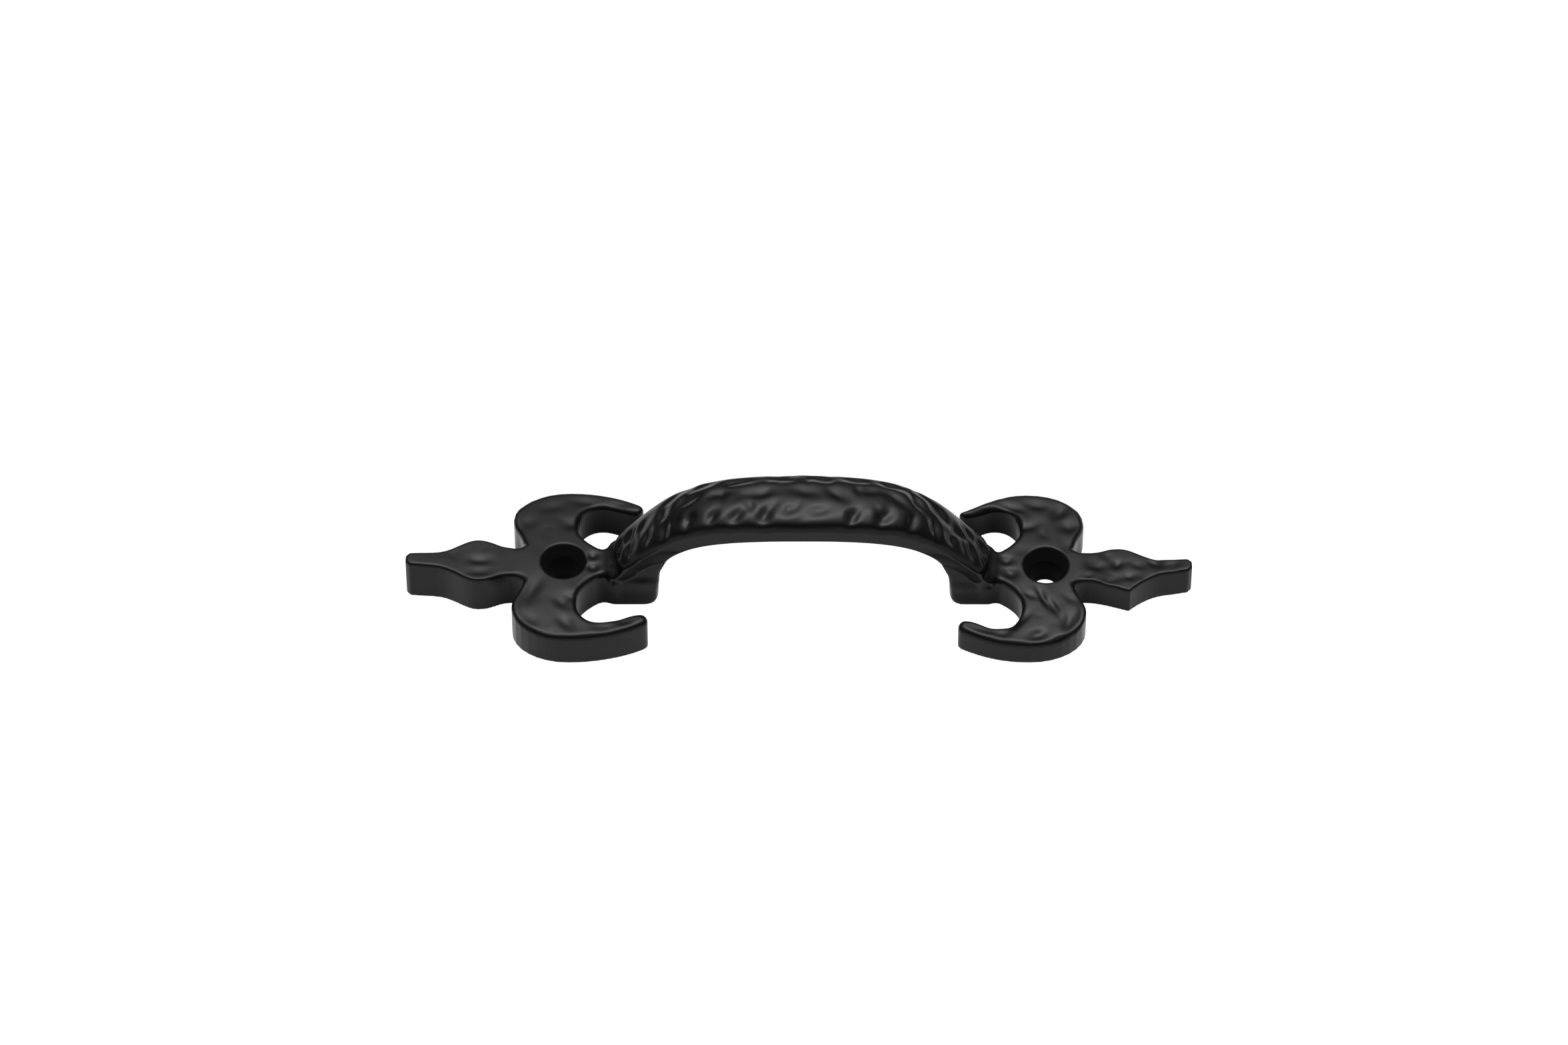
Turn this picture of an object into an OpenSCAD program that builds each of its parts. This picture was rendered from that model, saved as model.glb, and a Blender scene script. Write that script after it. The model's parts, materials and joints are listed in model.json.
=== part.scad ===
// Fleur-de-lis bow pull: one hammered iron casting, drawn limb by limb.
// X runs along the handle, Y across it, and the flat back lies on Z = 0.
// Each end plate is drawn outward from its own middle, then placed left and right.

/* [Handle] */
// Distance between the middles of the two end plates
plate_spacing = 92; // [84:1:120]
// Distance from a plate's middle to the tip of its spear
spear_reach = 29; // [24:0.5:40]
// Width across the petals
fleur_width = 36.6; // [31:0.2:46]

/* [Plates] */
// Thickness of the left plate at its screw hole
left_thickness = 8.7; // [6:0.1:12]
// Thickness of the right plate at its screw hole
right_thickness = 7.4; // [6:0.1:12]
// Radius of the shallow crown across each plate
plate_crown_r = 180; // [100:5:400]
// How far behind its middle line the highest line of the right plate lies
right_crown_shift = 7.7; // [0:0.1:10]

/* [Screw holes] */
// How far towards the right end both holes were drilled from the plates' middles
drill_drift = 1.1; // [0:0.1:1.5]
// Diameter of the plain hole
bore_d = 5.6; // [4:0.1:7]
// Diameter of the countersink at the top of the plate
sink_d = 8.9; // [7.4:0.1:10.8]
// Depth of the countersink
sink_depth = 2.4; // [1:0.1:4]

/* [Petals] */
// Distance from the plate's middle to the back of a petal, towards the spear
petal_back = 8.6; // [7.8:0.1:11]
// Distance from the plate's middle to the tip of the left near petal
left_near_reach = 17.3; // [14:0.1:20]
// Distance from the plate's middle to the tip of the left far petal
left_far_reach = 16.2; // [14:0.1:20]
// Distance from the plate's middle to the tip of the right near petal
right_near_reach = 15.8; // [14:0.1:20]
// Distance from the plate's middle to the tip of the right far petal
right_far_reach = 15.2; // [14:0.1:20]
// Distance from the plate's middle to the crest of a petal, towards the bow
petal_crest = 2.2; // [0:0.1:5]
// Width of the curled arm above the hook
arm_width = 4.1; // [3:0.1:6]
// Width of the arm at its tip
arm_tip_width = 2.6; // [1.5:0.1:3]
// Width of the right far petal's arm at its tip, forged thinner than the other three
right_far_tip_width = 1.5; // [1.2:0.1:3]
// Distance from the plate's middle to the back of the hook under the arm
hook_back = 3.6; // [3:0.1:4.6]

/* [Spear] */
// Metal between the drilled countersink and the notches beside the spear
notch_wall = 0.85; // [0.5:0.05:2]
// Width between the two notches
notch_width = 8.8; // [7.6:0.1:10]
// Distance from the plate's middle to the spear's waist
waist_at = 8.7; // [8.4:0.1:10]
// Width of the waist
waist_width = 7; // [5:0.1:8]
// Distance from the plate's middle to the spear's shoulders
shoulder_at = 15.3; // [13:0.1:17]
// Width across the shoulders
shoulder_width = 10.2; // [8:0.1:14]
// How much further out the right spear's near shoulder sits, as a squarer corner
corner_shift = 1.7; // [0:0.1:2]
// Length of the narrow tail at the end
tail_length = 5; // [3:0.1:6]
// Width of the tail where it starts
tail_width = 3.6; // [3:0.1:5]
// Width of the tail at its end
tip_width = 3; // [2:0.1:3]
// Height of the left spear's top at its shoulders
left_shoulder_height = 9.1; // [6:0.1:12]
// Height of the left spear's top at its tip
left_tip_height = 9.6; // [6:0.1:12]
// Height of the right spear's top at its shoulders
right_shoulder_height = 6.5; // [5:0.1:12]
// Height of the right spear's top at its tip
right_tip_height = 7.9; // [5:0.1:12]
// How far the underside of the right spear's tip curves up off the back
right_tip_lift = 0.9; // [0:0.1:2]

/* [Bow] */
// Clear height under the middle of the bow
grip_height = 21.4; // [17:0.1:30]
// Height of the bow's flat side at the middle
side_height = 4; // [3:0.1:7]
// Height of the crown above the flat sides
bow_crown = 2.6; // [1:0.1:4]
// Width of the bow at the middle
bow_width = 13.8; // [10:0.1:16]
// Widths that the bow narrows through on its way down to each foot
bow_taper = [12.2, 10.6]; // [8:0.1:14]
// How far the bow's outer curve sits towards the right end
bow_drift = 0.5; // [0:0.1:1]
// How far the bow's inner curve sits towards the right end
grip_drift = 1; // [0:0.1:1.5]
// Distance from a plate's middle to the outside of the bow's foot
bow_to_plate = 9.5; // [8.5:0.1:12]
// Thickness of the leg along the handle where it lands on the foot
leg_depth = 9.1; // [7:0.1:11]
// Width of the leg's inner side where it lands on the foot
leg_width = 8.8; // [7:0.1:10]
// How far from the middle the outer curve of the bow pulls level
outer_level = 21.7; // [15:0.1:26]
// How far in and up from the foot the outer curve pulls straight
outer_leg = [13.7, 13.3]; // [8:0.1:18]
// How far from the middle the inner curve of the bow pulls level
inner_level = 23.8; // [15:0.1:26]
// How far in and up from the foot the inner curve pulls straight
inner_leg = [2.9, 6.8]; // [1:0.1:10]

/* [Neck] */
// Width of the neck between the bow and the screw hole
neck_width = 6.6; // [5:0.1:8]
// Width of the foot at the back, under the bow
foot_width = 6.4; // [5:0.1:7]
// How far the foot slants in from the leg down to the back
foot_slant = 1; // [0.2:0.1:3]

/* [Hidden] */
paint = "#232425";
left = -1;
right = 1;
far = 1;
near = -1;
steps = 8;
ring_steps = 22;
crown_steps = 10;
crown_fade = 6;
tip_round = 0.8;
blade_h = 4 * max(left_thickness, right_thickness);

sink_r = sink_d / 2;
petal_half = fleur_width / 2;
arm_inner = petal_half - arm_width;
neck_half = neck_width / 2;
tail_at = spear_reach - tail_length;
plate_x = plate_spacing / 2;
bow_side_top = grip_height + side_height;

// A side's own plate thickness and the line its crown is highest on
function thickness(side) = side == left ? left_thickness : right_thickness;
function crown_shift(side) = side == left ? 0 : right_crown_shift;

// Points of the plate's outline, as [outward, sideways] from its middle
neck_start = [-bow_to_plate, neck_half];
crook = [-sink_r - drill_drift - 0.95, sink_r + 0.1];
hook = [-hook_back, (arm_inner + neck_half) / 2 + 0.6];
under_arm = [-hook_back - 4.6, arm_inner];
crest = [-petal_crest, petal_half];
back = [petal_back, petal_half - 7.4];
notch = [sink_r + drill_drift + notch_wall, notch_width / 2];
flank = [notch[0] + 0.7, sink_r + 2];
waist = [waist_at, waist_width / 2];
shoulder = [shoulder_at, shoulder_width / 2];
tail = [tail_at, tail_width / 2];

// The point, or number, at t along the cubic curve from a to d with handles b and c
function cubic(a, b, c, d, t) =
    let (s = 1 - t) s * s * s * a + 3 * s * s * t * b + 3 * s * t * t * c + t * t * t * d;
// The curve's points, its end left to whatever follows
function curve(a, b, c, d, n = steps) = [for (i = [0 : n - 1]) cubic(a, b, c, d, i / n)];

// Edges of the limbs on one side of the middle line; limbs that meet share an end point
neck_edge = [
    each curve(neck_start, neck_start + [1.6, 0], crook - [0.9, 0.65], crook),
    crook
];
function petal_edge(reach, tip_w) =
    let (
        inner = [-reach + 1.6, arm_inner - 1.7],
        tip = [-reach, inner[1] + tip_w / 2],
        outer = [-reach + 1.5, inner[1] + tip_w + 0.3]
    ) [
        each curve(crook, crook + [1.1, 0.8], hook - [0, 2.2], hook),
        each curve(hook, hook + [0, 2.7], under_arm + [2.5, 0], under_arm),
        each curve(under_arm, under_arm - [2.5, 0], inner + [2.6, 0.3], inner),
        each curve(inner, inner - [1.1, 0.1], tip - [0, 0.25 * tip_w], tip, 5),
        each curve(tip, tip + [0, 0.3 * tip_w], outer - [1, 0.5], outer, 5),
        each curve(outer, outer + [3, 1.5], crest - [5.4, 0], crest),
        each curve(crest, crest + [0.55 * (back[0] - crest[0]), 0], back + [0, 4.1], back),
        each curve(back, back - [0, 2], flank + [0.6, 1.6], flank),
        flank
    ];
// The shoulder is moved out by shift, and comes to a corner there when shift isn't 0
function spear_edge(shift = 0) =
    let (
        peak = shoulder + [shift, 0.25 * shift],
        level = shift > 0 ? 1 : 3,
        fall = shift > 0 ? [0.8, -0.8] : [0.3 * (tail[0] - peak[0]), 0]
    ) [
        each curve(notch, notch + [0.6, -0.5], waist - [0.9, 0], waist, 4),
        each curve(waist, waist + [3, 0], peak - [level, 0.1 * shift], peak),
        each curve(peak, peak + fall, tail - [0.44 * (tail[0] - peak[0]), -0.1], tail),
        tail,
        [spear_reach - tip_round, tip_width / 2],
        [spear_reach, tip_width / 2 - tip_round]
    ];

// A shape with one edge on its far side and another, turned over, on its near side
module between(far_edge, near_edge) {
    last = len(near_edge) - 1;
    polygon([each far_edge, for (i = [last : -1 : 0]) [near_edge[i][0], -near_edge[i][1]]]);
}

// Carries a limb drawn from its plate's middle to the left or right end
module at_end(side) {
    translate([side * plate_x, 0, 0])
        mirror([side == left ? 1 : 0, 0, 0])
            children();
}

// The space under a crowned plate top, which is as high as the thickness on the middle line
module under_crown(side) {
    shift = crown_shift(side);
    axis_z = thickness(side) - sqrt(plate_crown_r * plate_crown_r - shift * shift);
    translate([0, shift, axis_z])
        rotate([0, 90, 0])
            cylinder(r = plate_crown_r, h = 4 * spear_reach, center = true, $fn = 360);
}

// A limb with vertical walls and a crowned top
module limb(side) {
    intersection() {
        linear_extrude(blade_h)
            children();
        under_crown(side);
    }
}

module palm(side) {
    edge = [crook, flank, notch];
    hole_u = side * drill_drift;
    color(paint)
        at_end(side)
            difference() {
                limb(side)
                    between(edge, edge);
                translate([hole_u, 0, -1])
                    cylinder(d = bore_d, h = blade_h, $fn = 96);
                translate([hole_u, 0, thickness(side) - sink_depth])
                    cylinder(d1 = bore_d, d2 = sink_d, h = sink_depth, $fn = 96);
                translate([hole_u, 0, thickness(side)])
                    cylinder(d = sink_d, h = blade_h, $fn = 96);
            }
}

module petal(side, flank_side, reach, tip_w) {
    edge = [for (p = petal_edge(reach, tip_w)) [p[0], flank_side * p[1]]];
    color(paint)
        at_end(side)
            limb(side)
                polygon(edge);
}

// Plan and side view of the spear, each drawn straight through the other
module spear(side) {
    tip_z = side == left ? left_tip_height : right_tip_height;
    shoulder_z = side == left ? left_shoulder_height : right_shoulder_height;
    lift = side == left ? 0 : right_tip_lift;
    base_z = thickness(side);
    far_edge = spear_edge();
    near_edge = side == left ? far_edge : spear_edge(corner_shift);
    tip_top = [spear_reach, tip_z];
    top = [
        each curve([notch[0], base_z], [waist_at, base_z], [shoulder_at - 2, shoulder_z],
            [shoulder_at, shoulder_z]),
        each curve([shoulder_at, shoulder_z], [shoulder_at + 3, shoulder_z],
            tip_top - [5, (tip_z - shoulder_z) / 2], tip_top),
        tip_top
    ];
    underside = [
        each curve([spear_reach, lift], [spear_reach - 4, lift / 2], [tail_at, 0], [shoulder_at + 3, 0]),
        [notch[0], 0]
    ];
    color(paint)
        at_end(side)
            intersection() {
                linear_extrude(blade_h)
                    between(far_edge, near_edge);
                translate([0, shoulder_width, 0])
                    rotate([90, 0, 0])
                        linear_extrude(2 * shoulder_width)
                            polygon([each top, each underside]);
            }
}

// The neck and, under the bow, the foot that narrows down to the back
module root(side) {
    slice = 0.01;
    height = thickness(side);
    neck_u = -bow_to_plate + side * bow_drift;
    leg_u = -bow_to_plate - leg_depth + side * grip_drift;
    foot_u = leg_u + foot_slant;
    color(paint)
        at_end(side)
            union() {
                linear_extrude(height)
                    between(neck_edge, neck_edge);
                hull() {
                    translate([foot_u + foot_width / 2, 0, 0])
                        cylinder(d = foot_width, h = slice, $fn = 32);
                    translate([neck_u, -foot_width / 2, 0])
                        cube([1, foot_width, slice]);
                    translate([0, 0, height - slice])
                        linear_extrude(slice)
                            polygon([[leg_u, -leg_width / 2], [neck_u + 1, -neck_half],
                                [neck_u + 1, neck_half], [leg_u, leg_width / 2]]);
                }
            }
}

// Eases from 0 at height z = from to 1 at crown_fade above it
function ease(z, from) = sin(90 * max(0, min(1, (z - from) / crown_fade)));

// One ring round the bow: t runs from 0 at the middle to 1 on the foot
function bow_ring(side, t) =
    let (
        foot_z = thickness(side),
        out_x = plate_x - bow_to_plate,
        in_x = out_x - leg_depth,
        p = cubic([0, grip_height], [inner_level, grip_height],
            [in_x - inner_leg[0], foot_z + inner_leg[1]], [in_x, foot_z], t),
        q = cubic([0, bow_side_top], [outer_level, bow_side_top],
            [out_x - outer_leg[0], foot_z + outer_leg[1]], [out_x, foot_z], t),
        across = (q - p) / norm(q - p),
        half_out = cubic(bow_width, bow_taper[0], bow_taper[1], neck_width, t) / 2,
        half_in = cubic(0.95 * bow_width, 0.95 * bow_width, bow_taper[1], leg_width, t) / 2,
        crown = bow_crown * ease(q[1], foot_z)
    ) [
        [side * p[0] + grip_drift, -half_in, p[1]],
        for (i = [0 : crown_steps])
            let (
                y = -cos(180 * i / crown_steps),
                up = crown * pow(max(0, 1 - pow(abs(y), 2.4)), 0.6)
            )
                [side * (q[0] + across[0] * up) + bow_drift, half_out * y, q[1] + across[1] * up],
        [side * p[0] + grip_drift, half_in, p[1]]
    ];

module bow() {
    rings = [
        for (i = [ring_steps : -1 : 1]) bow_ring(left, i / ring_steps),
        for (i = [0 : ring_steps]) bow_ring(right, i / ring_steps)
    ];
    n = len(rings[0]);
    last = len(rings) - 1;
    skin = [
        for (i = [0 : last - 1], j = [0 : n - 1])
            let (k = (j + 1) % n, a = i * n, b = a + n)
                each [[a + j, a + k, b + k], [a + j, b + k, b + j]]
    ];
    ends = [[for (j = [n - 1 : -1 : 0]) j], [for (j = [0 : n - 1]) last * n + j]];
    color(paint)
        polyhedron(points = [for (ring = rings) each ring], faces = [each skin, each ends], convexity = 4);
}

bow();
root(left);  // left_root
root(right);  // right_root
palm(left);  // left_palm
palm(right);  // right_palm
spear(left);  // left_spear
spear(right);  // right_spear
petal(left, near, left_near_reach, arm_tip_width);  // left_near_petal
petal(left, far, left_far_reach, arm_tip_width);  // left_far_petal
petal(right, near, right_near_reach, arm_tip_width);  // right_near_petal
petal(right, far, right_far_reach, right_far_tip_width);  // right_far_petal
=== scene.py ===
# %% [markdown]
# # A hammered iron bow pull, from solid model to finished casting
# The handle is one iron casting: an arched bow between two fleur-de-lis plates.
# The solid model has the right sizes but flat tops and sharp corners.
# Here its limbs are melted back into one casting with rounded edges and hammer marks,
# and the casting is parted again into the same named limbs.

# %% Load the solid model
import json
import math

import bmesh
import bpy
import numpy as np
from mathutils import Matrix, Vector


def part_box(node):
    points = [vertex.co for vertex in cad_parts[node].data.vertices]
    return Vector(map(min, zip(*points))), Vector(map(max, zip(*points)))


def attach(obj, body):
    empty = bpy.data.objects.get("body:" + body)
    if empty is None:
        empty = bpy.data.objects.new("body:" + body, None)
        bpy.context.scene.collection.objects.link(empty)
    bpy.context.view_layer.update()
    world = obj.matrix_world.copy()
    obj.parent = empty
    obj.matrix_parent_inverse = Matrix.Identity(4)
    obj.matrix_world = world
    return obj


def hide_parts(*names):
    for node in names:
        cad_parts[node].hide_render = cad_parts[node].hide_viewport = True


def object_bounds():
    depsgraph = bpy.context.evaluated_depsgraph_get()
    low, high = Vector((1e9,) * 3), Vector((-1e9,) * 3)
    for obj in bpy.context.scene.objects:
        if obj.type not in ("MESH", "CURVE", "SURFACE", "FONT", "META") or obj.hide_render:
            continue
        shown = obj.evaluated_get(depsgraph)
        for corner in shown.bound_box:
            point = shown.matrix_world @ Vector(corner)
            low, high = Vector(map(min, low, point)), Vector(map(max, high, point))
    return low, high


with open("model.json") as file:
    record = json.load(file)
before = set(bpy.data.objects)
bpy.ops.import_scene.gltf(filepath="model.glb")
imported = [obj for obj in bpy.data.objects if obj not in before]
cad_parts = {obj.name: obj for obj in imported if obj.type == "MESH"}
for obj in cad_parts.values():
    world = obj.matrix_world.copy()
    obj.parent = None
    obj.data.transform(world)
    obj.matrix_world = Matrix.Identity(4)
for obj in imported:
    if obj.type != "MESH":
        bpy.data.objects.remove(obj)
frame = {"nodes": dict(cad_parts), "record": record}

import openvdb
from mathutils import Vector
from mathutils.bvhtree import BVHTree

MM = 0.001
cad_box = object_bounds()
nodes = frame["nodes"]
mounts = {m["name"]: m for m in frame["record"]["mounts"]}
print("solid model, mm:", [[round(c / MM, 2) for c in corner] for corner in cad_box])

# %% [markdown]
# ## What the solid model says
# Every size comes from the solid model: the plates' thickness, the middles of the plates,
# the screw holes, and the outline of each plate. The plates have upright walls, so one level
# cut through the limbs gives their outline. Where two limbs part, both have the same wall,
# and those walls are left out, because the real handle has no wall there.

# %% Sizes of the two ends
LEFT, RIGHT = -1, 1
SIDES = {"left": LEFT, "right": RIGHT}
hole_x = {s: mounts[f"{n}_screw_hole"]["pos_m"][0] / MM for n, s in SIDES.items()}
bore_r = mounts["left_screw_hole"]["dims"]["r_mm"]
plain_length = {s: mounts[f"{n}_screw_hole"]["dims"]["length_mm"] for n, s in SIDES.items()}
plate_x = (hole_x[RIGHT] - hole_x[LEFT]) / 2
thickness = {s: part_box(f"{n}_root")[1].z / MM for n, s in SIDES.items()}
LIMBS = ("root", "palm", "spear", "near_petal", "far_petal")
print("plate middles at", plate_x, "mm; thickness", thickness)


# %% Cut a limb with a level plane
def level_cut(name, z):
    """Short straight segments where the level plane at z (mm) cuts a limb of the solid model."""
    mesh = nodes[name].data
    mesh.calc_loop_triangles()
    co = np.array([v.co for v in mesh.vertices]) / MM
    tris = np.array([t.vertices for t in mesh.loop_triangles])
    cuts = []
    for tri in co[tris]:
        above = tri[:, 2] > z
        if above.all() or not above.any():
            continue
        ends = []
        for a, b in ((0, 1), (1, 2), (2, 0)):
            if above[a] != above[b]:
                k = (z - tri[a, 2]) / (tri[b, 2] - tri[a, 2])
                ends.append(tri[a, :2] + k * (tri[b, :2] - tri[a, :2]))
        cuts.append(ends)
    cuts = np.array(cuts)
    lengths = np.linalg.norm(cuts[:, 1] - cuts[:, 0], axis=1)
    return cuts[lengths > 1e-4]


def to_segment(p, seg):
    """Distance from points p to one straight segment, and how far along it the nearest point is."""
    a, b = seg
    ab = b - a
    t = np.clip(((p - a) @ ab) / (ab @ ab), 0, 1)
    return np.hypot(*np.moveaxis(p - a - t[..., None] * ab, -1, 0)), t


# %% Outline of a plate
shared_wall_gap = 0.02
hole_zone = 1.7 * bore_r


def plate_outline(side_name, side, z):
    """Outline of one plate at height z, without the walls between limbs and without the hole."""
    cuts = {n: level_cut(f"{side_name}_{n}", z) for n in LIMBS}
    hole = np.array([hole_x[side], 0])
    kept = []
    for name, segs in cuts.items():
        others = [s for n, more in cuts.items() if n != name for s in more]
        mid = segs.mean(axis=1)
        gap = np.min([to_segment(mid, s)[0] for s in others], axis=0)
        in_hole = np.hypot(*(mid - hole).T) < hole_zone
        kept.append(segs[(gap > shared_wall_gap) & ~in_hole])
    return np.concatenate(kept)


low_cut, high_cut = 1.6, 0.72
outlines = {n: (plate_outline(n, s, low_cut), plate_outline(n, s, thickness[s] * high_cut))
            for n, s in SIDES.items()}
print("outline segments:", {n: [len(segs) for segs in pair] for n, pair in outlines.items()})


# %% [markdown]
# ## A level set
# A smooth blend of many limbs is hard to model face by face. A level set makes it easy: a
# block of small cells holds, in each cell, the distance to the metal's surface, negative inside.
# Rounding a corner, melting two limbs together or denting a face is then one sum, and the
# surface is where the distance is zero. Blender's own Remesh works this way and brings OpenVDB,
# which turns such a block into a clean mesh of four-sided faces.

# %% The block of cells
# The pitch is the width of one cell in mm.
PITCH = 0.27
margin = 4 * PITCH
low = [c / MM - margin for c in cad_box[0]]
high = [c / MM + margin for c in cad_box[1]]
xs, ys, zs = (np.arange(low[i], high[i] + PITCH, PITCH, dtype=np.float32) for i in range(3))
X, Y, Z = xs[:, None, None], ys[None, :, None], zs[None, None, :]
print("cells:", len(xs), len(ys), len(zs))


# %% Ways to make and join distances
def signed_plan(segs, u, v):
    """Distance to a closed outline on a grid, negative inside."""
    grid = np.stack(np.meshgrid(u, v, indexing="ij"), -1)
    best = np.full(grid.shape[:2], 1e9)
    inside = np.zeros(grid.shape[:2], bool)
    for seg in segs:
        best = np.minimum(best, to_segment(grid, seg)[0])
        (ax, ay), (bx, by) = seg
        if ay != by:
            spans = (ay > v) != (by > v)
            cross = ax + (v - ay) / (by - ay) * (bx - ax)
            inside ^= spans[None, :] & (u[:, None] < cross[None, :])
    return np.where(inside, -best, best).astype(np.float32)


def rounded_meet(a, b, r):
    """Where two surfaces meet from inside, with a rounded corner of radius r."""
    outer = np.hypot(np.maximum(a + r, 0), np.maximum(b + r, 0))
    return outer + np.minimum(np.maximum(a + r, b + r), 0) - r


def melt(a, b, k):
    """Joins two limbs with a fillet about k wide."""
    h = np.maximum(k - np.abs(a - b), 0) / k
    return np.minimum(a, b) - h * h * k / 4


def smooth(t):
    """Soft step from 0 to 1."""
    t = np.clip(t, 0, 1)
    return t * t * (3 - 2 * t)


# %% [markdown]
# ## Hammer marks
# The tops look as if they were struck all over with a ball hammer: they are covered in shallow
# oval dents, two to nine millimetres long and a few tenths deep. A dent is a soft bowl. Each
# one is written as its middle, its length and width, its turn in degrees and its depth.
# A few large ones are listed one by one, and the small ones between them are scattered.

# %% Dents on a flat sheet
def dent_map(u, v, dents):
    """Depth of a list of dents (u, v, length, width, turn, depth), all in mm, on a grid."""
    out = np.zeros(np.broadcast(u, v).shape, np.float32)
    for cu, cv, length, width, turn, depth in dents:
        c, s = math.cos(math.radians(turn)), math.sin(math.radians(turn))
        along = ((u - cu) * c + (v - cv) * s) / (length / 2)
        across = ((v - cv) * c - (u - cu) * s) / (width / 2)
        out += depth * np.exp(-1.4 * (along * along + across * across))
    return out


small_width = (1.32, 3.0)
small_stretch = (1.2, 2.2)


def scatter(seed, count, box, depth):
    """Small dents at seeded places in a box (u from, u to, v from, v to), in mm."""
    rng = np.random.default_rng(seed)
    found = []
    for _ in range(count):
        u, v = rng.uniform(box[0], box[1]), rng.uniform(box[2], box[3])
        width = rng.uniform(*small_width)
        found.append((u, v, width * rng.uniform(*small_stretch), width, rng.uniform(0, 180),
                      rng.uniform(0.4, 1.0) * depth))
    return found


# %% [markdown]
# ## The plates
# Each plate is its outline, pulled up to a top that is crowned a little across the handle.
# The spears rise or fall towards their tips, so their tops are read from the solid model with
# rays shot straight down. The top edges were dressed round, more on the petals than the spears.

# %% Top of the plates
crown_r = 180.0
crown_shift = {LEFT: 0.0, RIGHT: 7.7}
spear_from, spear_run = 6.4, 3.0
lift_from = 12.0
outside = 9.0


def ray_heights(name, x_mm, y_mm, up):
    """Height of a limb's top, or of its underside, at the places x_mm along the handle."""
    mesh = nodes[name].data
    tree = BVHTree.FromPolygons([v.co for v in mesh.vertices], [p.vertices for p in mesh.polygons])
    start, way = (-0.05, Vector((0, 0, 1))) if up else (0.1, Vector((0, 0, -1)))
    hits = [tree.ray_cast(Vector((x * MM, y_mm * MM, start)), way)[0] for x in x_mm]
    good = [(x, h.z / MM) for x, h in zip(x_mm, hits) if h is not None]
    return np.interp(x_mm, *zip(*good))


top = np.zeros((len(xs), len(ys)), np.float32)
underside = np.zeros_like(top)
plan_low = np.full_like(top, outside)
plan_high = np.full_like(top, outside)
for name, side in SIDES.items():
    here = xs * side > 0
    x = xs[here]
    u = side * x - plate_x
    shift = crown_shift[side]
    rise = np.sqrt(crown_r**2 - (ys - shift) ** 2) - math.sqrt(crown_r**2 - shift**2)
    crown = thickness[side] + np.broadcast_to(rise, (len(x), len(ys)))
    spear_top = ray_heights(f"{name}_spear", x, 0.05, up=False)[:, None]
    mix = smooth((u - spear_from) / spear_run)[:, None]
    top[here] = crown * (1 - mix) + spear_top * mix
    spear_back = ray_heights(f"{name}_spear", x, 0.05, up=True)
    underside[here] = np.where(u > lift_from, spear_back, 0)[:, None]
    plan_low[here], plan_high[here] = (signed_plan(segs, x, ys) for segs in outlines[name])

U = (np.abs(xs) - plate_x)[:, None]
V = ys[None, :]
print("plate tops from", round(float(top.min()), 2), "to", round(float(top.max()), 2), "mm")

# %% Dents on the plates
left_dents = [
    # x, y, length, width, turn, depth
    (-61.0, -0.1, 4.6, 2.4, 0, 0.42), (-60.7, -2.9, 4.4, 2.4, 8, 0.34), (-66.5, 1.8, 5.0, 2.6, 5, 0.12),
    (-50.9, -7.0, 7.5, 3.4, 62, 0.55), (-44.9, -10.3, 4.2, 2.4, -40, 0.34),
    (-43.2, -8.6, 4.2, 2.4, -12, 0.36), (-50.6, -14.0, 5.2, 3.0, -28, 0.3),
    (-44.1, -14.8, 5.0, 3.0, -42, 0.45), (-40.6, -12.6, 6.5, 2.6, -52, 0.4),
    (-36.8, -15.6, 6.0, 2.4, 2, 0.3), (-33.4, -14.3, 4.4, 2.2, 6, 0.5), (-47.5, -17.0, 6.0, 2.2, -6, 0.2),
    (-43.6, 9.5, 4.0, 3.2, 12, 0.36), (-51.9, 9.8, 4.6, 3.4, 30, 0.2), (-47.2, 14.0, 6.0, 3.0, 10, 0.2),
    (-40.5, 15.2, 6.0, 2.4, -8, 0.26), (-35.0, 14.6, 5.0, 2.2, -12, 0.26), (-54.0, 4.0, 4.0, 2.6, 20, 0.12),
    (-39.3, 1.3, 2.4, 2.0, 0, 0.5), (-39.2, -1.5, 2.6, 2.2, 0, 0.55),
]
right_dents = [
    (39.6, 1.2, 3.2, 2.4, 0, 0.6), (40.2, -1.7, 3.6, 2.6, -10, 0.6), (43.8, 9.6, 4.2, 2.4, 20, 0.5),
    (51.4, 9.7, 4.0, 3.4, 20, 0.55), (50.0, 13.4, 5.0, 3.4, 55, 0.6), (45.6, 15.0, 5.4, 2.6, -10, 0.4),
    (40.8, 14.6, 6.0, 2.0, -20, 0.45), (36.0, 13.7, 5.0, 2.2, 14, 0.4), (46.6, 8.2, 4.0, 2.6, 70, 0.2),
    (56.8, 0.2, 4.4, 2.6, 4, 0.4), (60.7, 1.0, 2.6, 2.2, 40, 0.45), (59.1, -3.1, 3.4, 2.2, 10, 0.34),
    (64.8, 0.6, 3.4, 2.2, -35, 0.3), (68.0, 0.9, 4.0, 2.4, -30, 0.5), (62.8, -2.0, 4.6, 2.2, 15, 0.3),
    (71.5, 0.4, 3.0, 2.0, 0, 0.24), (54.6, -2.4, 3.4, 1.8, 20, 0.3), (41.2, -13.4, 8.0, 2.2, 42, 0.6),
    (45.2, -16.1, 4.8, 2.6, 14, 0.6), (51.2, -13.0, 4.6, 2.8, 80, 0.55), (46.6, -8.0, 5.6, 1.5, -64, 0.5),
    (48.4, -9.6, 5.2, 1.5, -66, 0.45), (36.0, -15.0, 8.5, 1.9, -14, 0.42), (51.8, -7.8, 4.6, 2.4, -40, 0.3),
    (44.0, -7.0, 3.6, 1.6, -30, 0.3), (49.0, -17.0, 4.0, 2.0, 12, 0.25),
]
small_dents = scatter(5, 60, (-72, -26, -18, 18), 0.09) + scatter(6, 90, (26, 74, -18, 18), 0.13)
plate_dents = left_dents + right_dents + small_dents
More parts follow.
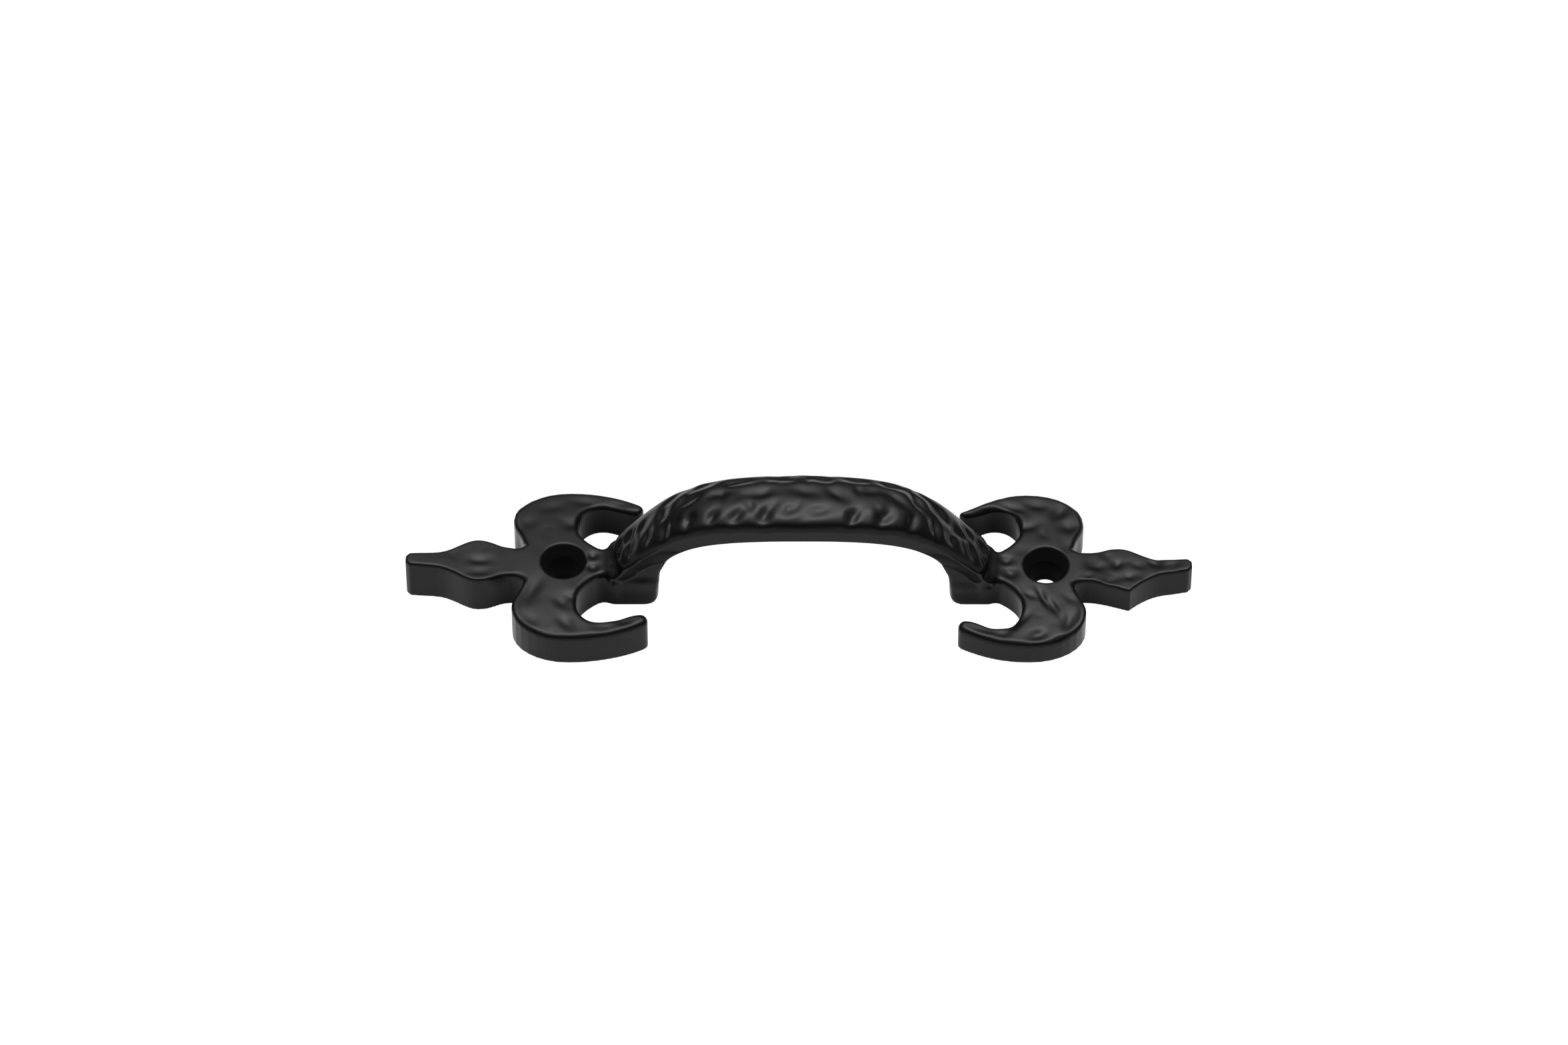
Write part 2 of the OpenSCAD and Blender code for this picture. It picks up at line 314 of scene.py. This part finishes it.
top -= dent_map(xs[:, None], V, plate_dents)
print(len(plate_dents), "dents on the plates")

# %% [markdown]
# ## Raising the plates
# The walls lean a little, as a pattern's walls must to leave the sand, so the outline near the
# back is blended into the outline near the top. Under each end of the bow the neck is made
# narrower and lower, so that the leg of the bow alone gives the shape there.

# %% Raise the plates
petal_edge_r, spear_edge_r, back_edge_r = 1.15, 0.6, 0.35
on_spear = smooth((U - 7) / 2.5) * smooth((8 - np.abs(V)) / 1.5)
edge_r = (petal_edge_r * (1 - on_spear) + spear_edge_r * on_spear)[:, :, None]
wall_rise = 4.5
wall_t = np.clip((Z - low_cut) / wall_rise, 0, 1)
wall = plan_low[:, :, None] * (1 - wall_t) + plan_high[:, :, None] * wall_t

neck_end, neck_half = -10.8, 7.8
neck_narrower, neck_lower = 1.1, 2.2
under_leg = smooth((neck_end - U) / 2.0) * smooth((neck_half - np.abs(V)) / 1.4)
wall = wall + neck_narrower * under_leg[:, :, None] * smooth((Z - 0.6) / 3.0)
field = rounded_meet(wall, Z - (top - neck_lower * under_leg)[:, :, None], edge_r)
field = rounded_meet(field, underside[:, :, None] - Z, back_edge_r)
print("plates raised:", int((field < 0).sum()), "cells of metal")

# %% [markdown]
# ## The bow
# From the side the bow is the band between two curves: the outer one, where its hammered top
# meets its sides, and the inner one, that the fingers feel. Each is a cubic curve, as in the solid
# model. Across the bow the top is crowned, and the band narrows on its way down to each foot.
# Near the feet the sides also lean in under the top, so a shadow lies under the crease.

# %% Side curves of the bow
def cubic(a, b, c, d, t):
    """A cubic curve with ends a and d and handles b and c."""
    s = 1 - t
    return s**3 * a + 3 * s * s * t * b + 3 * s * t * t * c + t**3 * d


grip_height, bow_side_top = 21.4, 25.4
outer_x, inner_x = 36.5, 27.4
outer_drift, inner_drift = 0.5, 1.0
bow_widths_out = (13.8, 12.6, 11.6, 9.6)
bow_widths_in = (13.1, 12.8, 8.6, 6.6)
STEPS = 48


def side_curve(side, handles, drift):
    """Half of a side curve, from the middle of the bow to one end, as points (x, z)."""
    t = np.linspace(0, 1, STEPS + 1)[:, None]
    pts = cubic(*(np.array(h, float) for h in handles), t)
    return np.column_stack([side * pts[:, 0] + drift, pts[:, 1]])


def whole_curve(make, drift):
    """Both halves in one run. make gives the handles for a plate of thickness t."""
    left_half, right_half = (side_curve(s, make(thickness[s]), drift) for s in (LEFT, RIGHT))
    return np.concatenate([left_half[:0:-1], right_half])


outer = whole_curve(lambda t: ((0, bow_side_top), (21.7, bow_side_top),
                               (outer_x - 12.7, t + 14.7), (outer_x, t)), outer_drift)
inner = whole_curve(lambda t: ((0, grip_height), (23.8, grip_height),
                               (inner_x - 2.9, t + 6.8), (inner_x, t)), inner_drift)
arc = np.concatenate([[0], np.cumsum(np.hypot(*np.diff(outer, axis=0).T))])
arc -= arc[STEPS]
print("the hammered top is", round(float(arc[-1] - arc[0]), 1), "mm long")


# %% Distance to the side curves
def curve_distance(curve):
    """Distance from each cell of the side view to a curve, and the place along it (-1 to 1)."""
    grid = np.stack(np.meshgrid(xs, zs, indexing="ij"), -1)
    best = np.full(grid.shape[:2], 1e9)
    place = np.zeros_like(best)
    n = len(curve) - 1
    for i in range(n):
        d, t = to_segment(grid, (curve[i], curve[i + 1]))
        near = d < best
        best = np.where(near, d, best)
        place = np.where(near, (i + t) * 2 / n - 1, place)
    return best, place


foot_slant, upright = 1.0, 0.001
below_back = -0.5


def drop_ends(curve, slant):
    """The curve with both ends carried down past the back, slanting outwards by slant."""
    first, last = curve[0], curve[-1]
    return np.concatenate([[(first[0] - slant, below_back)], curve, [(last[0] + slant, below_back)]])


d_out, t_out = curve_distance(outer)
d_in, t_in = curve_distance(inner)
outer_full, inner_full = drop_ends(outer, upright), drop_ends(inner, foot_slant)
d_out_full, _ = curve_distance(outer_full)
d_in_full, _ = curve_distance(inner_full)


def above(curve):
    """Which cells of the side view lie above a curve. Past its ends, all of them do."""
    height = np.interp(xs, curve[:, 0], curve[:, 1], left=-99, right=-99)
    return zs[None, :] > height[:, None]


over = np.where(above(outer), d_out_full, -d_out_full)
under = np.where(above(inner_full), -d_in_full, d_in_full)

# %% Half width of the bow, for each cell of the side view
foot_half = 3.3
lean_in, lean_run = 0.9, 5.0
share = d_in / (d_in + d_out + 1e-6)
half = (cubic(*bow_widths_in, np.abs(t_in)) * (1 - share)
        + cubic(*bow_widths_out, np.abs(t_out)) * share) / 2
foot_z = np.where(xs > 0, thickness[RIGHT], thickness[LEFT])[:, None]
down = np.clip(1 - zs[None, :] / foot_z, 0, 1)
half = half * (1 - down) + foot_half * down
near_foot = smooth((np.abs(t_out) - 0.62) / 0.3)
half = np.maximum(half - lean_in * near_foot * smooth(d_out / lean_run), foot_half)
print("bow is", bow_widths_out[0], "mm wide in the middle, its feet", 2 * foot_half, "mm")

# %% [markdown]
# ## The hammered top
# The top is laid flat as a sheet to place its dents, by how far along the bow they are and how
# far across, and the sheet is then bent over the side curve. The crown ends in a round tongue.

# %% Dents on the bow
arc_at = np.interp((t_out + 1) * STEPS, np.arange(2 * STEPS + 1), arc)
arc_end = np.where(xs[:, None] > outer_drift, arc[-1], -arc[0])
to_end = arc_end - np.abs(arc_at)

bow_dents = [
    # place along the bow, y, length, width, turn, depth
    (-21.0, -3.6, 3.6, 2.0, 60, 0.5), (-16.6, -3.9, 3.4, 2.0, 50, 0.5), (-12.2, -4.1, 4.2, 2.4, 38, 0.55),
    (-7.0, -4.2, 4.6, 2.8, 50, 0.65), (-2.2, -3.4, 4.4, 2.4, 20, 0.3), (3.2, -3.6, 5.0, 2.6, 10, 0.35),
    (9.6, -4.4, 4.4, 2.4, 60, 0.65), (15.4, -3.8, 4.6, 2.6, 50, 0.55), (20.5, -3.4, 4.4, 2.2, 80, 0.5),
    (25.2, -2.6, 4.4, 2.4, -66, 0.55), (29.6, -3.0, 4.0, 2.2, -20, 0.4), (-26.0, -3.2, 4.0, 2.2, 60, 0.45),
    (-30.5, -2.4, 4.6, 2.0, 50, 0.4), (-8.5, 0.6, 9.0, 3.0, 6, 0.4), (0.6, 1.0, 7.0, 3.2, -14, 0.45),
    (6.6, 0.4, 6.5, 3.0, -36, 0.5), (12.6, 1.6, 5.0, 2.8, 8, 0.4), (17.0, 0.8, 5.5, 2.6, -30, 0.45),
    (21.4, 1.8, 5.5, 2.6, -58, 0.6), (26.2, 1.6, 4.6, 2.6, -30, 0.45), (31.0, -0.4, 5.2, 2.4, -8, 0.4),
    (-14.8, 1.2, 6.5, 2.6, 18, 0.35), (-20.6, 1.2, 5.5, 2.6, 26, 0.4), (-26.4, 0.4, 5.0, 2.6, 60, 0.35),
    (-31.6, 1.0, 5.0, 2.4, 20, 0.3), (-11.5, 4.0, 8.0, 2.4, 8, 0.4), (-3.4, 4.4, 6.5, 2.4, -4, 0.4),
    (3.6, 4.6, 5.5, 2.4, -10, 0.45), (10.0, 4.6, 6.5, 2.2, -8, 0.5), (16.6, 4.2, 6.0, 2.2, -12, 0.5),
    (-18.4, 4.2, 6.5, 2.2, 18, 0.4), (-24.4, 3.6, 6.0, 2.0, 24, 0.35), (23.0, 4.0, 5.0, 2.0, -30, 0.4),
    (34.4, 1.4, 5.0, 2.2, -38, 0.5), (35.2, -2.2, 4.2, 2.0, -50, 0.5), (38.4, 0.4, 5.2, 2.0, -30, 0.55),
    (39.4, -2.6, 3.4, 1.8, -20, 0.4), (-35.4, 0.8, 5.0, 2.2, 38, 0.45), (-35.8, -2.4, 4.2, 2.0, 50, 0.45),
    (-39.2, -0.2, 4.6, 2.0, 30, 0.45),
]
bow_dents += scatter(11, 90, (arc[0], arc[-1], -7.0, 7.0), 0.2)
deeper = 1.2
sheet_s = np.arange(arc[0] - 2, arc[-1] + 2, PITCH)
sheet = deeper * dent_map(sheet_s[:, None], V, bow_dents)
row = np.clip((arc_at - sheet_s[0]) / PITCH, 0, len(sheet_s) - 1.001)
row0 = row.astype(int)
part = (row - row0)[:, None, :].astype(np.float32)
bow_dent = np.moveaxis(sheet[row0], 1, 2) * (1 - part) + np.moveaxis(sheet[row0 + 1], 1, 2) * part

print(len(bow_dents), "dents on the bow")

# %% Build the bow and melt it into the plates
bow_crown, end_crown_loss = 2.62, 0.4
crease_r, inner_edge_r, heel_r = 0.9, 0.8, 1.8
fillet = 2.0
half = half[:, None, :].astype(np.float32)
across = np.abs(Y) / half
rise = np.maximum(1 - across**2.4, 0) ** 0.6
tongue = to_end[:, None, :] - 0.9 - 0.07 * Y * Y
flatter = 1 - end_crown_loss * smooth((np.abs(t_out) - 0.3) / 0.5)[:, None, :]
crown = bow_crown * flatter * smooth(tongue / 2.2) * rise
bow_top = (over[:, None, :] - crown + bow_dent).astype(np.float32)
bow_side = np.abs(Y) - half
bow = rounded_meet(bow_side, bow_top, crease_r)
heel = rounded_meet(under[:, None, :].astype(np.float32), -Z, heel_r)
bow = rounded_meet(bow, heel, inner_edge_r)
field = rounded_meet(melt(field, bow, fillet), -Z, back_edge_r)
print("with the bow:", int((field < 0).sum()), "cells of metal")

# %% [markdown]
# ## Screw holes
# Each hole has a countersink for the head of a wood screw. Below it the hole is plain, with the
# solid model's radius, and it is drawn a little tighter in its last 1.6 mm, at the back.

# %% Open the holes
sink_r, widest_r = 4.45, 4.6
tight_by, tight_to = 0.4, 1.6
sink_rim_r = 0.15
wall_to_cone = 0.82
for side in (LEFT, RIGHT):
    away = np.hypot(X - hole_x[side], Y)
    sink = thickness[side] - plain_length[side]
    cored_r = bore_r - tight_by * smooth((tight_to - Z) / tight_to)
    cone_r = bore_r + (sink_r - bore_r) * (Z - plain_length[side]) / sink
    cone_r = np.clip(cone_r, cored_r, widest_r)
    field = rounded_meet(field, (cone_r - away) * wall_to_cone, sink_rim_r)
    print("hole at", round(hole_x[side], 2), "mm, countersink", round(sink, 2), "mm deep")


# %% [markdown]
# ## From level set to mesh
# OpenVDB lays four-sided faces along the zero level. A few Newton steps then move every corner
# exactly onto it, and the distance's own slope gives smooth normals for the shading.

# %% Read between the cells
def look_up(volume, p):
    """Value of a block of cells at points p, in mm, read between the cells."""
    q = (p - np.array(low)) / PITCH
    q = np.clip(q, 0, np.array(volume.shape) - 1.001)
    i = q.astype(int)
    f = (q - i).T
    total = 0
    for dx in (0, 1):
        for dy in (0, 1):
            for dz in (0, 1):
                weight = (f[0] if dx else 1 - f[0]) * (f[1] if dy else 1 - f[1])
                weight = weight * (f[2] if dz else 1 - f[2])
                total = total + weight * volume[i[:, 0] + dx, i[:, 1] + dy, i[:, 2] + dz]
    return total


# %% Mesh the casting
band = 4 * PITCH
field = np.clip(field, -band, band).astype(np.float32)
level_set = openvdb.FloatGrid(band)
level_set.copyFromArray(field)
level_set.transform = openvdb.createLinearTransform(voxelSize=PITCH)
points, quads = level_set.convertToQuads(isovalue=0.0)
points = points.astype(float) + np.array(low)
slope = np.gradient(field, PITCH)


def slopes_at(p):
    """Slope of the distance at points p. It points straight out of the metal."""
    return np.stack([look_up(s, p) for s in slope], -1)


NEWTON_STEPS = 3
flattest, longest_step = 0.3, 0.3 * PITCH
for _ in range(NEWTON_STEPS):
    g = slopes_at(points)
    step = look_up(field, points)[:, None] * g / np.maximum((g * g).sum(1), flattest)[:, None]
    points -= np.clip(step, -longest_step, longest_step)
a, b, c, d = (points[quads[:, i]] for i in range(4))
volume = float(np.einsum("ij,ij->i", a, np.cross(b, c) + np.cross(c, d)).sum() / 6)
if volume < 0:
    quads = quads[:, ::-1]
print("casting:", len(points), "corners,", len(quads), "faces, volume", round(abs(volume)), "mm3")

# %% [markdown]
# ## Parting the casting
# The casting is cut where the solid model's limbs meet, so every limb is its own named piece.
# The cuts are flat planes: one across each leg, two across each plate, and one for each petal.

# %% Cut planes and limbs
crook = (-6.5, 4.55)
flank = (7.1, 6.45)
root_cut = crook[0] - 0.3
spear_cut = spear_from + 0.45
petal_line = np.array([crook[0], crook[1] + 0.35]), np.array([flank[0], flank[1] + 0.3])
petal_way = petal_line[1] - petal_line[0]
petal_normal = np.array([-petal_way[1], petal_way[0]]) / np.hypot(*petal_way)


def leg_plane(side):
    """A point and a normal, in the side view, of the cut across one leg of the bow."""
    lower = np.array([inner_x + side * inner_drift, thickness[side] - 0.2])
    upper = np.array([outer_x - 1.2, thickness[side] + 2.4])
    way = upper - lower
    normal = np.array([-way[1], way[0]])
    return lower, normal / np.hypot(*normal)


def limb_of(p):
    """Name of the limb that the point p (mm) of the skin belongs to."""
    side_name, side = ("left", LEFT) if p[0] < 0 else ("right", RIGHT)
    u, v = side * p[0] - plate_x, abs(p[1])
    corner, normal = leg_plane(side)
    if u < -8 and v < 8.5 and (np.array([side * p[0], p[2]]) - corner) @ normal > 0:
        return "bow"
    past_petal_line = (np.array([u, v]) - petal_line[0]) @ petal_normal > 0
    if v > 7 and u < 12 or -6.4 < u < 8.9 and past_petal_line:
        return f"{side_name}_{'near' if p[1] < 0 else 'far'}_petal"
    if u < root_cut:
        return f"{side_name}_root"
    return f"{side_name}_spear" if u > spear_cut else f"{side_name}_palm"


# %% Cut the skin
skin = bmesh.new()
skin_mesh = bpy.data.meshes.new("casting")
skin_mesh.from_pydata((points * MM).tolist(), [], quads.tolist())
skin.from_mesh(skin_mesh)


def cut(side, point, normal, near):
    """Cuts the skin along a plane given in the plate's own frame, only where near(u, v) holds."""
    faces = [f for f in skin.faces if near(f.calc_center_median() / MM)]
    edges = list({e for f in faces for e in f.edges})
    corners = list({v for f in faces for v in f.verts})
    bmesh.ops.bisect_plane(skin, geom=faces + edges + corners, dist=1e-7,
                           plane_co=Vector(point) * MM, plane_no=Vector(normal))
    print("cut", "left" if side == LEFT else "right", "end through", len(faces), "faces")


for side in (LEFT, RIGHT):
    def in_plate(p, lo, hi, vmax):
        return lo < side * p[0] - plate_x < hi and abs(p[1]) < vmax

    corner, normal = leg_plane(side)
    cut(side, (side * corner[0], 0, corner[1]), (side * normal[0], 0, normal[1]),
        lambda p: in_plate(p, -22, -8, 8.5)
        and abs((np.array([side * p[0], p[2]]) - corner) @ normal) < 1)
    cut(side, (side * (plate_x + root_cut), 0, 0), (1, 0, 0),
        lambda p: in_plate(p, root_cut - 1, root_cut + 1, 7))
    cut(side, (side * (plate_x + spear_cut), 0, 0), (1, 0, 0),
        lambda p: in_plate(p, spear_cut - 1, spear_cut + 1, 6.2))
    for flank_side in (-1, 1):
        cut(side, (side * (plate_x + petal_line[0][0]), flank_side * petal_line[0][1], 0),
            (side * petal_normal[0], flank_side * petal_normal[1], 0),
            lambda p: in_plate(p, -8, 10, 9) and p[1] * flank_side > 3)

# %% [markdown]
# ## Closed pieces
# Each limb keeps its own part of the skin, and every open rim is closed with a flat cap, so the
# piece is a closed body. The skin's normals come from the distance, so no seam shows where two
# limbs meet.

# %% Make each limb a closed piece
skin.faces.ensure_lookup_table()
labels = [limb_of(f.calc_center_median() / MM) for f in skin.faces]
pieces = {}
for name in sorted(set(labels)):
    limb = skin.copy()
    limb.faces.ensure_lookup_table()
    gone = [f for f, label in zip(limb.faces, labels) if label != name]
    bmesh.ops.delete(limb, geom=gone, context="FACES")
    rim = [e for e in limb.edges if e.is_boundary]
    ends = bmesh.ops.edgeloop_fill(limb, edges=rim)["faces"]
    for end in ends:
        at_rim = end.loops[0]
        skin_loop = next(c for c in at_rim.edge.link_loops if c.face != end)
        if skin_loop.vert == at_rim.vert:
            end.normal_flip()
    caps = set(bmesh.ops.triangulate(limb, faces=ends)["faces"])
    for f in limb.faces:
        f.smooth = f not in caps
    limb.faces.index_update()
    cap_index = {f.index for f in caps}
    open_edges = sum(1 for e in limb.edges if not e.is_manifold)
    mesh = bpy.data.meshes.new(name)
    limb.to_mesh(mesh)
    limb.free()
    piece = bpy.data.objects.new(f"cast_{name}", mesh)
    bpy.context.scene.collection.objects.link(piece)
    co = np.zeros(len(mesh.vertices) * 3)
    mesh.vertices.foreach_get("co", co)
    normals = slopes_at(co.reshape(-1, 3) / MM)
    normals /= np.linalg.norm(normals, axis=1)[:, None]
    loops = []
    for p in mesh.polygons:
        for vi in p.vertices:
            loops.append(tuple(p.normal) if p.index in cap_index else tuple(normals[vi]))
    mesh.normals_split_custom_set(loops)
    pieces[name] = piece
    print(name, len(mesh.polygons), "faces,", len(cap_index), "on cuts,", open_edges, "open edges")

# %% Stand the pieces in for the solids
for name, piece in pieces.items():
    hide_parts(name)
    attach(piece, "root")


# %% [markdown]
# ## Black satin powder coat
# The finish is taken to be powder coat: dry plastic powder, sprayed on and melted in an oven. It
# gives an even, deep black skin with a satin sheen and a fine orange-peel ripple. The sheen is
# cut down in nooks and on faces that look down, as painted shade. An ambient occlusion node
# finds the nooks, and the surface's own direction finds the faces that look down.

# %% Material helpers
def srgb(hex_code):
    """A colour picked on a screen, as linear light."""
    parts = [int(hex_code[i:i + 2], 16) / 255 for i in (1, 3, 5)]
    return [p / 12.92 if p <= 0.04045 else ((p + 0.055) / 1.055) ** 2.4 for p in parts] + [1.0]


def node(tree, kind, settings=None, values=None, links=None):
    """Adds one node, sets its options and sockets, and links sockets to what feeds them."""
    n = tree.nodes.new(kind)
    for key, value in (settings or {}).items():
        setattr(n, key, value)
    for key, value in (values or {}).items():
        n.inputs[key].default_value = value
    for key, source in (links or {}).items():
        tree.links.new(source, n.inputs[key])
    return n


def empty_tree(owner):
    """The node tree of a material or world, with nothing in it yet."""
    owner.use_nodes = True
    owner.node_tree.nodes.clear()
    return owner.node_tree


# %% Painted shade: the sheen is cut down in nooks and on faces that look down
# The occlusion looks 22 mm around, about the room under the bow. To Max 0.5 is the full sheen
# that the index of refraction gives.
coat = bpy.data.materials.new("black_satin_powder_coat")
tree = empty_tree(coat)
painted_shade_reach = 22.0
# Painted shade: the occlusion takes the sheen away in nooks, where shade falls.
painted_shade_ao = node(tree, "ShaderNodeAmbientOcclusion", {"samples": 8}, {"Distance": painted_shade_reach * MM})
sheen_after_painted_nook_shade = node(tree, "ShaderNodeMapRange",
                  values={"From Min": 0.2, "From Max": 0.52, "To Min": 0.03, "To Max": 0.5},
                  links={"Value": painted_shade_ao.outputs["AO"]})
facing = node(tree, "ShaderNodeNewGeometry").outputs["Normal"]
# Painted shade: faces that look down lose their sheen, like the shade under the bow.
tilt = node(tree, "ShaderNodeSeparateXYZ", links={"Vector": facing})
painted_shade_facing_down = node(tree, "ShaderNodeMapRange",
             values={"From Min": -0.26, "From Max": -0.04, "To Min": 0.05, "To Max": 1.0},
             links={"Value": tilt.outputs["Z"]})
sheen = node(tree, "ShaderNodeMath", {"operation": "MULTIPLY"},
             links={0: sheen_after_painted_nook_shade.outputs["Result"], 1: painted_shade_facing_down.outputs["Result"]})

# %% The powder coat
# Orange peel on a thin coat repeats about every 0.7 mm. The gloss changes slowly, over 8 mm.
# Plastic powder has an index of about 1.5. This one is lower, matched to the real sheen.
peel_size, cloud_size = 0.714, 8.33
peel_depth = 0.05
place = node(tree, "ShaderNodeTexCoord").outputs["Object"]
peel = node(tree, "ShaderNodeTexNoise", links={"Vector": place},
            values={"Scale": 1 / (peel_size * MM), "Detail": 2.0, "Roughness": 0.5})
cloud = node(tree, "ShaderNodeTexNoise", links={"Vector": place},
             values={"Scale": 1 / (cloud_size * MM), "Detail": 3.0, "Roughness": 0.55})
rough = node(tree, "ShaderNodeMapRange",
             values={"From Min": 0.3, "From Max": 0.7, "To Min": 0.24, "To Max": 0.32},
             links={"Value": cloud.outputs["Fac"]})
tint = node(tree, "ShaderNodeMixRGB", values={"Color1": srgb("#0a0a0a"), "Color2": srgb("#0e0e0e")},
            links={"Fac": cloud.outputs["Fac"]})
bump = node(tree, "ShaderNodeBump", values={"Strength": 0.12, "Distance": peel_depth * MM},
            links={"Height": peel.outputs["Fac"]})
shader = node(tree, "ShaderNodeBsdfPrincipled", values={"IOR": 1.25, "Metallic": 0.0},
              links={"Base Color": tint.outputs["Color"], "Roughness": rough.outputs["Result"],
                     "Specular IOR Level": sheen.outputs["Value"],
                     "Normal": bump.outputs["Normal"]})
node(tree, "ShaderNodeOutputMaterial", links={"Surface": shader.outputs["BSDF"]})
print("coat:", len(tree.nodes), "nodes")

# %% [markdown]
# ## Painted shade inside the screw holes
# The plain walls of the holes are made very dark, dull and a little gritty. This is painted shade:
# it stands in for the shade that fills a deep, narrow hole, where the table's glow would
# otherwise light the walls.

# %% The walls of the holes
# Painted shade: a dark, dull material for the plain walls of the holes.
painted_shade_bore = bpy.data.materials.new("painted_shade_inside_bore")
tree = empty_tree(painted_shade_bore)
grit_size, pit_depth = 1.111, 0.1
place = node(tree, "ShaderNodeTexCoord").outputs["Object"]
grit = node(tree, "ShaderNodeTexNoise", values={"Scale": 1 / (grit_size * MM), "Detail": 3.0},
            links={"Vector": place})
painted_shade_bore_colour = node(tree, "ShaderNodeMixRGB", values={"Color1": srgb("#050505"), "Color2": srgb("#101010")},
               links={"Fac": grit.outputs["Fac"]})
pits = node(tree, "ShaderNodeBump", values={"Strength": 0.3, "Distance": pit_depth * MM},
            links={"Height": grit.outputs["Fac"]})
painted_shade_bore_bsdf = node(tree, "ShaderNodeBsdfPrincipled", values={"IOR": 1.12, "Roughness": 0.75},
            links={"Base Color": painted_shade_bore_colour.outputs["Color"], "Normal": pits.outputs["Normal"]})
node(tree, "ShaderNodeOutputMaterial", links={"Surface": painted_shade_bore_bsdf.outputs["BSDF"]})
print("inside of holes:", len(tree.nodes), "nodes")

# %% Put the finishes on
wall_reach = bore_r + 0.12


def in_bore(p, side):
    """Whether the point p (mm) of a palm is on the plain wall of its hole."""
    away = math.hypot(p.x - hole_x[side], p.y)
    return away < wall_reach and 0.2 < p.z < plain_length[side] + 0.1


for name, piece in pieces.items():
    piece.data.materials.append(coat)
    if name.endswith("palm"):
        # The plain wall of each hole gets the painted shade.
        piece.data.materials.append(painted_shade_bore)
        side = SIDES[name.split("_")[0]]
        for face in piece.data.polygons:
            if in_bore(face.center / MM, side):
                face.material_index = 1
for solid in nodes.values():
    solid.data.materials.clear()
    solid.data.materials.append(coat)

# %% [markdown]
# ## Table, light and camera
# The handle lies face up on a white light table, under one large softbox in a dim studio. The
# table glows, so it is pure white behind the handle and fills the walls of the plates with light.

# %% Table
table_half, table_gap = 1600.0, 0.2
floor_mesh = bpy.data.meshes.new("table")
reach = table_half * MM
floor_mesh.from_pydata([(-reach, -reach, 0), (reach, -reach, 0), (reach, reach, 0), (-reach, reach, 0)],
                       [], [(0, 1, 2, 3)])
table = bpy.data.objects.new("table", floor_mesh)
table.location.z = -table_gap * MM
bpy.context.scene.collection.objects.link(table)
opal = bpy.data.materials.new("white_light_table")
tree = empty_tree(opal)
glowing = node(tree, "ShaderNodeBsdfPrincipled",
               values={"Base Color": srgb("#404040"), "Roughness": 0.6,
                       "Emission Color": srgb("#ffffff"), "Emission Strength": 1.0})
node(tree, "ShaderNodeOutputMaterial", links={"Surface": glowing.outputs["BSDF"]})
floor_mesh.materials.append(opal)
print("table", 2 * table_half, "mm wide")

# %% [markdown]
# ## Light
# The studio is dark at the sides and bright overhead. Its brightness depends only on how near a
# direction is to the middle of the bright part, so the crowned tops are lit with a soft fall-off.

# %% Studio and softbox
OVERHEAD = (0, 0.2, 0.98)
GLOW = [(0.42, 0.006), (0.6, 0.08), (0.75, 0.2), (0.87, 0.38), (0.98, 1.0)]
studio = bpy.data.worlds.new("studio")
bpy.context.scene.world = studio
tree = empty_tree(studio)
look = node(tree, "ShaderNodeTexCoord").outputs["Generated"]
towards = node(tree, "ShaderNodeVectorMath", {"operation": "DOT_PRODUCT"}, {1: OVERHEAD}, {0: look})
ramp = node(tree, "ShaderNodeValToRGB", links={"Fac": towards.outputs["Value"]})
stops = ramp.color_ramp.elements
while len(stops) < len(GLOW):
    stops.new(0.5)
for stop, (where, level) in zip(stops, GLOW):
    stop.position, stop.color = where, (level, level, level, 1)
sky = node(tree, "ShaderNodeBackground", values={"Strength": 5.2}, links={"Color": ramp.outputs["Color"]})
node(tree, "ShaderNodeOutputWorld", links={"Surface": sky.outputs["Background"]})

light = bpy.data.lights.new("overhead", "AREA")
light.shape = "RECTANGLE"
light.size, light.size_y = 0.9, 0.45
light.energy = 6
softbox = bpy.data.objects.new("overhead", light)
softbox.location.z = 1.2
bpy.context.scene.collection.objects.link(softbox)
print("softbox", light.size, "by", light.size_y, "m,", softbox.location.z, "m up")

# %% Camera
# A long lens from far away, looking down at the handle from the front. The aim is in mm.
ELEVATION = math.radians(49.3)
DISTANCE = 1500.0
AIM_RIGHT, AIM_UP = -2.846, 12.93
forward = Vector((0, math.cos(ELEVATION), -math.sin(ELEVATION)))
upward = Vector((0, math.sin(ELEVATION), math.cos(ELEVATION)))
eye = -DISTANCE * forward + Vector((AIM_RIGHT, 0, 0)) + AIM_UP * upward
camera_data = bpy.data.cameras.new("camera")
camera_data.sensor_width = 36.0
camera_data.lens = 179.9
camera = bpy.data.objects.new("camera", camera_data)
camera.location = eye * MM
camera.rotation_euler = (math.radians(90) - ELEVATION, 0, 0)
bpy.context.scene.collection.objects.link(camera)
bpy.context.scene.camera = camera
bpy.context.scene.view_settings.view_transform = "Standard"
print("camera", DISTANCE, "mm away,", camera_data.lens, "mm lens")

# %% [markdown]
# ## Update
# The view layer is brought up to date.

# %% Update the view layer
bpy.context.view_layer.update()
